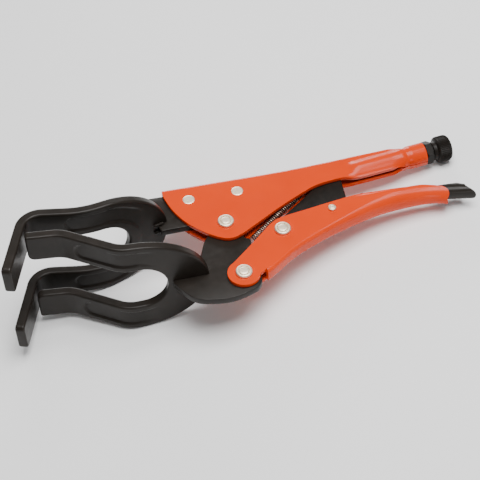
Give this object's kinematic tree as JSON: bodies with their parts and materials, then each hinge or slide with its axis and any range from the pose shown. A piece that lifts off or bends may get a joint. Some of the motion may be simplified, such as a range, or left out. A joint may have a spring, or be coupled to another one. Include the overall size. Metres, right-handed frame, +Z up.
{
  "type": "locking pliers",
  "caption": "Locking pliers with two U-shaped forked jaws, pressed-steel handles, a toggle lock, a release lever and a knurled adjusting screw.",
  "frame": {"origin": "on the floor under the middle of the tool as it lies on its side", "axes": "+X towards the rear of the handles, +Y from the lower handle to the upper one, +Z up through the pivots' side of the tool, which leans by 7 degrees"},
  "size_m": [0.3422, 0.1148, 0.0909],
  "materials": {
    "orange_enamel": "glossy baked enamel",
    "black_enamel": "semi-gloss black enamel",
    "nickel_plate": "satin nickel plate",
    "black_oxide": "black oxide",
    "spring_steel": "plain drawn wire"
  },
  "bodies": {
    "upper_jaw": {"upper_handle": "orange_enamel", "upper_jaw_plate": "black_enamel", "upper_fork": "black_enamel", "upper_weld_near": "black_enamel", "upper_weld_far": "black_enamel", "front_rivet": "nickel_plate", "rear_rivet": "nickel_plate", "jaw_pivot_pin": "nickel_plate", "threaded_insert": "black_oxide", "return_spring": "spring_steel"},
    "lower_jaw": {"lower_jaw_plate": "black_enamel", "lower_fork": "black_enamel", "lower_weld_near": "black_enamel", "lower_weld_far": "black_enamel", "handle_pivot_pin": "nickel_plate"},
    "lower_handle": {"lower_handle": "orange_enamel", "toggle_pin": "nickel_plate", "release_lever_pin": "nickel_plate"},
    "toggle": {"toggle_link": "black_oxide"},
    "lever": {"release_lever": "black_enamel"},
    "screw": {"adjusting_screw": "black_oxide"},
    "knob": {"adjusting_knob": "black_oxide"},
    "nut": {"lock_nut": "black_oxide"}
  },
  "joints": [
    {"name": "jaw_open", "type": "hinge", "parent": "upper_jaw", "child": "lower_jaw", "pos_m": [-0.00945, 0.00942, 0.03114], "axis": [0.1141, 0.0348, 0.9929], "range_deg": [0, 20], "deforming": ["return_spring"]},
    {"name": "handle_swing", "type": "hinge", "parent": "lower_jaw", "child": "lower_handle", "pos_m": [-0.00747, -0.03986, 0.03263], "axis": [-0.1141, -0.0348, -0.9929], "range_deg": [0, 52.8]},
    {"name": "toggle_fold", "type": "hinge", "parent": "lower_handle", "child": "toggle", "pos_m": [0.0275, -0.00762, 0.02749], "axis": [0.1141, 0.0348, 0.9929], "range_deg": [0, 61.3]},
    {"name": "lever_release", "type": "hinge", "parent": "lower_handle", "child": "lever", "pos_m": [0.06605, 0.00282, 0.02269], "axis": [0.1141, 0.0348, 0.9929], "range_deg": [0, 5]},
    {"name": "knob_turn", "type": "hinge", "parent": "screw", "child": "knob", "pos_m": [0.16089, 0.04728, 0.01024], "axis": [0.9868, 0.1118, -0.1173], "range_deg": [0, 3601]},
    {"name": "screw_travel", "type": "slide", "parent": "upper_jaw", "child": "screw", "axis": [0.9868, 0.1118, -0.1173], "range_m": [0, 0.015]},
    {"name": "nut_turn", "type": "hinge", "parent": "upper_jaw", "child": "nut", "pos_m": [0.15053, 0.0461, 0.01147], "axis": [0.9868, 0.1118, -0.1173], "range_deg": [0, 360]}
  ],
  "couplings": [
    {"joint": "handle_swing", "follows": "jaw_open", "ratio": 2.638},
    {"joint": "toggle_fold", "follows": "jaw_open", "ratio": 3.0625},
    {"joint": "knob_turn", "follows": "screw_travel", "rad_per_m": 4188.8}
  ]
}
